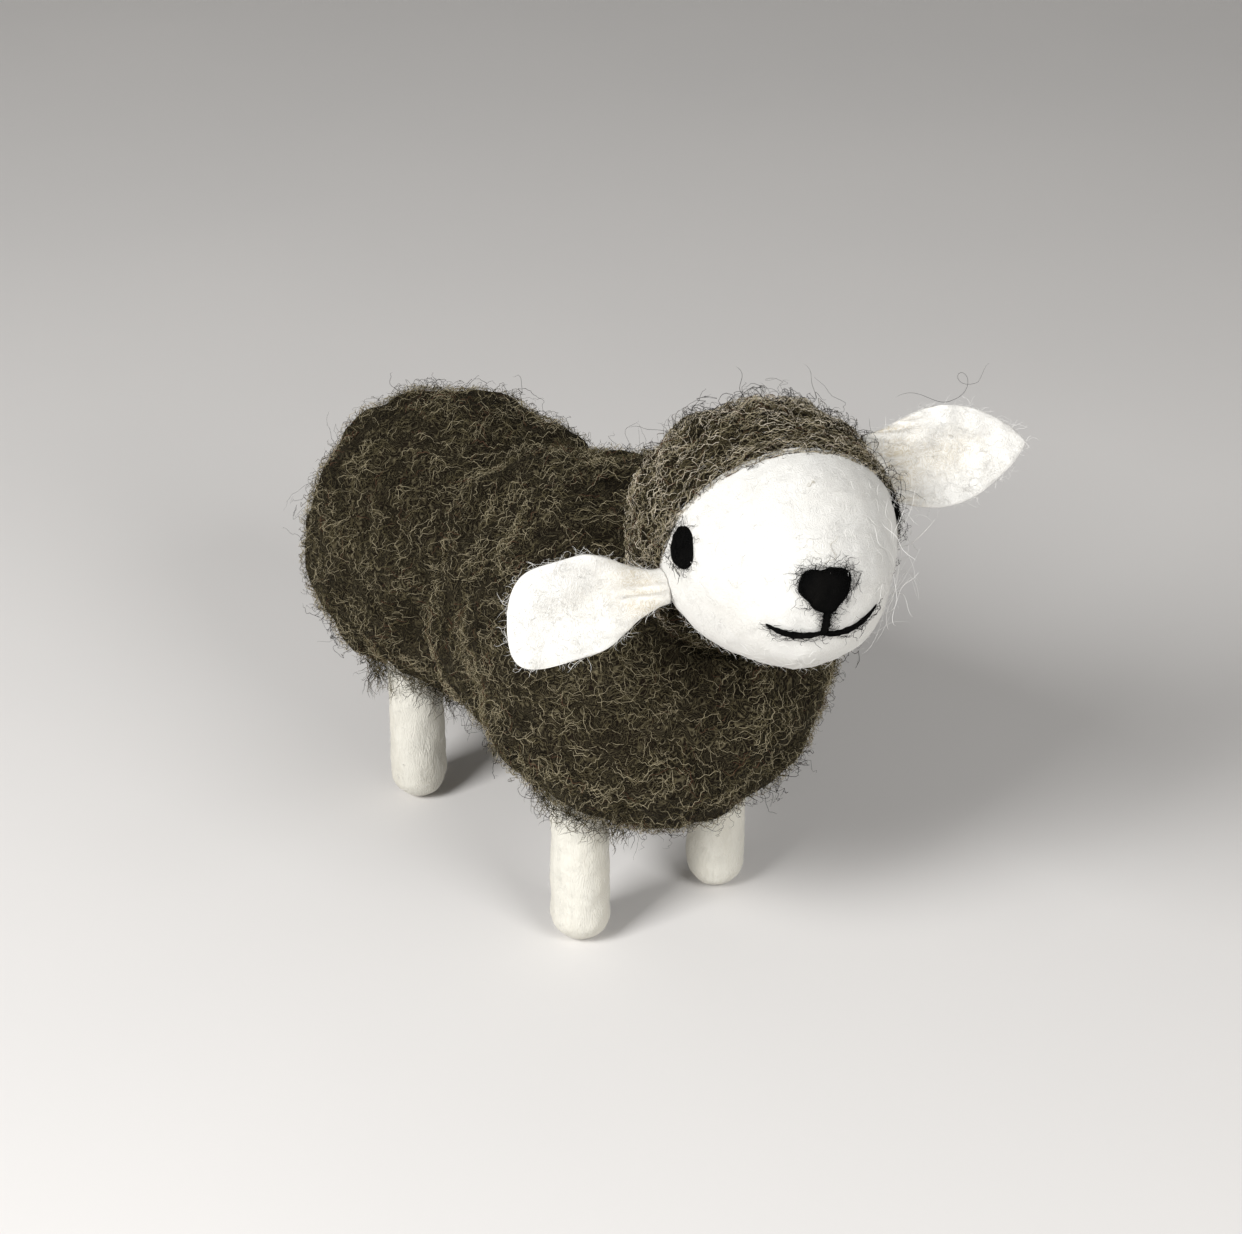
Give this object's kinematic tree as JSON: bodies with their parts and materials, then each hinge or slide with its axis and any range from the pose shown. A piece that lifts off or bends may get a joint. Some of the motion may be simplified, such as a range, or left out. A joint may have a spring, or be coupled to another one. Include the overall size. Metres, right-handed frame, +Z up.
{
  "type": "needle-felted sheep figure",
  "caption": "Standing needle-felted wool sheep with a curly dark fleece and hood, white felt head, ears and legs, on a posable wire armature.",
  "frame": {"origin": "middle of the whole figure's box, on the floor that the soles stand on", "axes": "+X to the sheep's own left, -Y the way the sheep faces, +Z up"},
  "size_m": [0.0708, 0.1208, 0.0897],
  "materials": {
    "curly_fleece": "loose curly carded wool, matte",
    "white_felt": "dense needle felt, matte with a short fuzz",
    "black_felt": "needled black wool, matte",
    "core_wool": "firm core wool, matte",
    "armature_wire": "plain drawn wire"
  },
  "bodies": {
    "torso": {"body_core": "core_wool", "body_fleece": "curly_fleece", "neck_wrap": "core_wool", "spine_wire": "armature_wire", "front_leg_yoke_wire": "armature_wire", "rear_leg_yoke_wire": "armature_wire"},
    "neck": {"neck_knot": "core_wool"},
    "head": {"head": "white_felt", "head_fleece": "curly_fleece", "head_wire": "armature_wire", "nose": "black_felt", "mouth": "black_felt", "right_eye": "black_felt", "left_eye": "black_felt"},
    "right_ear": {"right_ear": "white_felt"},
    "left_ear": {"left_ear": "white_felt"},
    "front_right_leg": {"front_right_leg": "white_felt", "front_right_leg_wire": "armature_wire"},
    "rear_right_leg": {"rear_right_leg": "white_felt", "rear_right_leg_wire": "armature_wire"},
    "front_left_leg": {"front_left_leg": "white_felt", "front_left_leg_wire": "armature_wire"},
    "rear_left_leg": {"rear_left_leg": "white_felt", "rear_left_leg_wire": "armature_wire"}
  },
  "joints": [
    {"name": "neck_turn", "type": "hinge", "parent": "torso", "child": "neck", "pos_m": [0.00136, -0.03902, 0.07169], "axis": [0, 0, 1], "range_deg": [-20, 20]},
    {"name": "head_nod", "type": "hinge", "parent": "neck", "child": "head", "pos_m": [0.00136, -0.03902, 0.07169], "axis": [0.9686, -0.2487, 0], "range_deg": [-10, 10]},
    {"name": "right_ear_fold", "type": "hinge", "parent": "head", "child": "right_ear", "pos_m": [-0.01341, -0.03863, 0.06975], "axis": [0.0134, -0.3581, -0.9336], "range_deg": [-20, 20], "stiffness_Nm_per_rad": 0.004},
    {"name": "left_ear_fold", "type": "hinge", "parent": "head", "child": "left_ear", "pos_m": [0.0145, -0.04091, 0.07855], "axis": [0.0907, 0.3332, 0.9385], "range_deg": [-20, 20], "stiffness_Nm_per_rad": 0.004},
    {"name": "front_right_hip", "type": "hinge", "parent": "torso", "child": "front_right_leg", "pos_m": [-0.01026, -0.01342, 0.028], "axis": [1, 0, 0], "range_deg": [-12, 12]},
    {"name": "rear_right_hip", "type": "hinge", "parent": "torso", "child": "rear_right_leg", "pos_m": [-0.01026, 0.03098, 0.0265], "axis": [1, 0, 0], "range_deg": [-12, 12]},
    {"name": "front_left_hip", "type": "hinge", "parent": "torso", "child": "front_left_leg", "pos_m": [0.01334, -0.01342, 0.028], "axis": [1, 0, 0], "range_deg": [-12, 12]},
    {"name": "rear_left_hip", "type": "hinge", "parent": "torso", "child": "rear_left_leg", "pos_m": [0.01334, 0.03098, 0.0265], "axis": [1, 0, 0], "range_deg": [-12, 12]}
  ]
}
